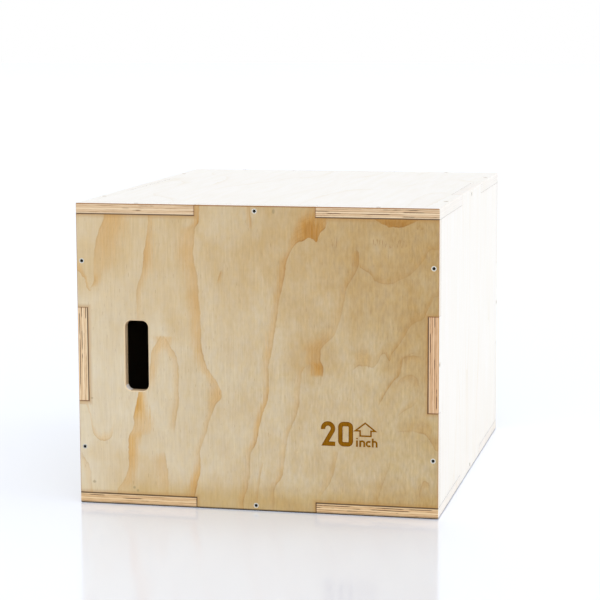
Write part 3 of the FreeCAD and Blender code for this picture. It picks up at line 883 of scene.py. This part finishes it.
def burnt_wood():
    """Scorched veneer: golden brown, darker at the rim of each stroke and along the grain."""
    material = bpy.data.materials.new("burnt_veneer")
    material.use_nodes = True
    tree = material.node_tree
    shader = tree.nodes["Principled BSDF"]
    x, y, z = places_in_mm(tree)
    rim = tree.nodes.new("ShaderNodeAttribute")
    rim.attribute_name = "rim"
    grain_width, grain_length = 1.2, 22
    grain = noise(tree, join(tree, x / grain_width, y, z / grain_length), 2)
    scorch = Field(tree, rim.outputs["Fac"]).rise(0.45, 1)
    brown = blend(tree, grain.rise(0.3, 0.7), BURNT_GOLD, BURNT_BROWN)
    brown = blend(tree, scorch * 0.6, brown, SCORCHED_RIM)
    feed(tree, brown, shader.inputs["Base Color"])
    feed(tree, grain.rise(0.2, 0.8, 0.6, 0.8), shader.inputs["Roughness"])
    shader.inputs["Specular IOR Level"].default_value = 0.05
    return material


half_stroke = figure_stroke / 2
two_x, two_bow = 122, 12
two_heel, two_toe = 117, 134
two_line = arc((two_x, figure_high - two_bow), two_bow - half_stroke, 190, -20)
two_line += [(two_heel, figure_low + half_stroke), (two_toe, figure_low + half_stroke)]

nought_x, nought_half, nought_corner = 151.3, 12.4 - half_stroke, 5.2
nought_inset = half_stroke + nought_corner
nought_line = []
for side, level, start in ((-1, 1, 180), (1, 1, 90), (1, -1, 0), (-1, -1, -90)):
    corner_x = nought_x + side * (nought_half - nought_corner)
    corner_z = figure_high - nought_inset if level > 0 else figure_low + nought_inset
    nought_line += arc((corner_x, corner_z), nought_corner, start, start - 90, 8)

arrow_tip, arrow_left, arrow_right = 184, 167.5, 200.5
shaft_left, shaft_right = 175.5, 193.5
arrow_high, arrow_shoulder, arrow_low = 155, 142, 133.5
arrow_line = [
    (arrow_tip, arrow_high), (arrow_left, arrow_shoulder), (shaft_left, arrow_shoulder),
    (shaft_left, arrow_low), (shaft_right, arrow_low), (shaft_right, arrow_shoulder),
    (arrow_right, arrow_shoulder),
]

letter_low, letter_high, letter_tall = 115.3, 126, 130
dot_low = 128
arch_middle = 121.6
i_x, n_x, h_x = 170.2, 175.6, 196.4
n_radius, h_radius = 3.4, 3.2
c_middle, c_radius = (190, 120.6), 3.9


def letter_arch(x, radius):
    """The arch of an n or an h, from its upright at x round to its right foot."""
    return arc((x + radius, arch_middle), radius, 135, 0, 8) + [(x + 2 * radius, letter_low)]


STROKES = (
    (two_line, figure_stroke, False),
    (nought_line, figure_stroke, True),
    (arrow_line, arrow_stroke, True),
    ([(i_x, letter_low), (i_x, letter_high)], letter_stroke, False),
    ([(i_x, dot_low), (i_x, letter_tall)], letter_stroke, False),
    ([(n_x, letter_low), (n_x, letter_high)], letter_stroke, False),
    (letter_arch(n_x, n_radius), letter_stroke, False),
    (arc(c_middle, c_radius, 50, 310), letter_stroke, False),
    ([(h_x, letter_low), (h_x, letter_tall)], letter_stroke, False),
    (letter_arch(h_x, h_radius), letter_stroke, False),
)
mark_mesh = bmesh.new()
rim_layer = mark_mesh.verts.layers.float.new("rim")
for line, width, closed in STROKES:
    burn_stroke(mark_mesh, rim_layer, line, width, closed)
bmesh.ops.recalc_face_normals(mark_mesh, faces=mark_mesh.faces)
mark_data = bpy.data.meshes.new("height_mark")
mark_mesh.to_mesh(mark_data)
mark_mesh.free()
mark_data.materials.append(burnt_wood())
height_mark = bpy.data.objects.new("height_mark", mark_data)
bpy.context.scene.collection.objects.link(height_mark)
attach(height_mark, "root")


# Floor, light and camera: a white glossy table in an even white room, with wide soft lights from above,
# from the right and from the front. The camera stands in front, a little to the right and above.

floor_width = 60
floor_gloss_share = 0.34
floor_glow_strength = 0.2
FLOOR_FOR_LIGHT = (0.75, 0.75, 0.75, 1)
FLOOR_FOR_VIEW = (0.95, 0.96, 1, 1)
FLOOR_GLOW = (0.3, 0.58, 1, 1)
PURE_WHITE = (1, 1, 1, 1)


def background_rays(tree):
    """1 for rays that show the background, also in gloss or glass, and 0 for light on the object."""
    light_path = tree.nodes.new("ShaderNodeLightPath")
    seen = Field(tree, light_path.outputs["Is Camera Ray"])
    mirrored = Field(tree, light_path.outputs["Is Glossy Ray"])
    through_glass = Field(tree, light_path.outputs["Is Transmission Ray"])
    return seen.most(mirrored).most(through_glass)


bpy.ops.mesh.primitive_plane_add(size=floor_width)
floor = bpy.context.object
floor.name = "floor"
floor_paint = bpy.data.materials.new("white_gloss_floor")
floor_paint.use_nodes = True
floor_tree = floor_paint.node_tree
floor_seen = background_rays(floor_tree)
floor_matt = floor_tree.nodes["Principled BSDF"]
floor_matt.inputs["Specular IOR Level"].default_value = 0
floor_white = blend(floor_tree, floor_seen, FLOOR_FOR_LIGHT, FLOOR_FOR_VIEW)
feed(floor_tree, floor_white, floor_matt.inputs["Base Color"])
floor_matt.inputs["Emission Color"].default_value = FLOOR_GLOW
feed(floor_tree, floor_seen * floor_glow_strength, floor_matt.inputs["Emission Strength"])
floor_gloss = floor_tree.nodes.new("ShaderNodeBsdfGlossy")
floor_gloss.inputs["Color"].default_value = PURE_WHITE
floor_gloss.inputs["Roughness"].default_value = 0.12
floor_mix = floor_tree.nodes.new("ShaderNodeMixShader")
floor_mix.inputs["Fac"].default_value = floor_gloss_share
floor_tree.links.new(floor_matt.outputs[0], floor_mix.inputs[1])
floor_tree.links.new(floor_gloss.outputs[0], floor_mix.inputs[2])
floor_tree.links.new(floor_mix.outputs[0], floor_tree.nodes["Material Output"].inputs["Surface"])
floor.data.materials.append(floor_paint)

room_light = 0.79
room = bpy.data.worlds.new("white_room")
bpy.context.scene.world = room
room.use_nodes = True
room_tree = room.node_tree
backdrop = room_tree.nodes["Background"]
backdrop.inputs["Color"].default_value = PURE_WHITE
room_strength = background_rays(room_tree) * (1 - room_light) + room_light
feed(room_tree, room_strength, backdrop.inputs["Strength"])

softbox_spread = math.radians(60)


def soft_sun(name, towards, strength):
    """An even light that comes from this direction, as from a large softbox."""
    lamp = bpy.data.lights.new(name, "SUN")
    lamp.energy = strength
    lamp.angle = softbox_spread
    lamp_object = bpy.data.objects.new(name, lamp)
    lamp_object.rotation_euler = Vector(towards).to_track_quat("Z", "Y").to_euler()
    bpy.context.scene.collection.objects.link(lamp_object)


soft_sun("light_above", towards=(0.1, 0.1, 1), strength=0.27)
soft_sun("light_right", towards=(1, 0.15, 0.14), strength=0.74)
soft_sun("light_front", towards=(0.25, -1, 0.3), strength=0.8)

camera_data = bpy.data.cameras.new("camera")
camera_data.sensor_width = 36
camera_data.lens = 123.81
camera = bpy.data.objects.new("camera", camera_data)
camera_place = Matrix.Translation((0.7915, -3.6312, 0.8169))
turn_left = Matrix.Rotation(math.radians(12.418), 4, "Z")
look_down = Matrix.Rotation(math.radians(90 - 7.9), 4, "X")
lean = Matrix.Rotation(math.radians(-0.223), 4, "Z")
camera.matrix_world = camera_place @ turn_left @ look_down @ lean
bpy.context.scene.collection.objects.link(camera)
bpy.context.scene.camera = camera
bpy.context.scene.view_settings.view_transform = "Standard"
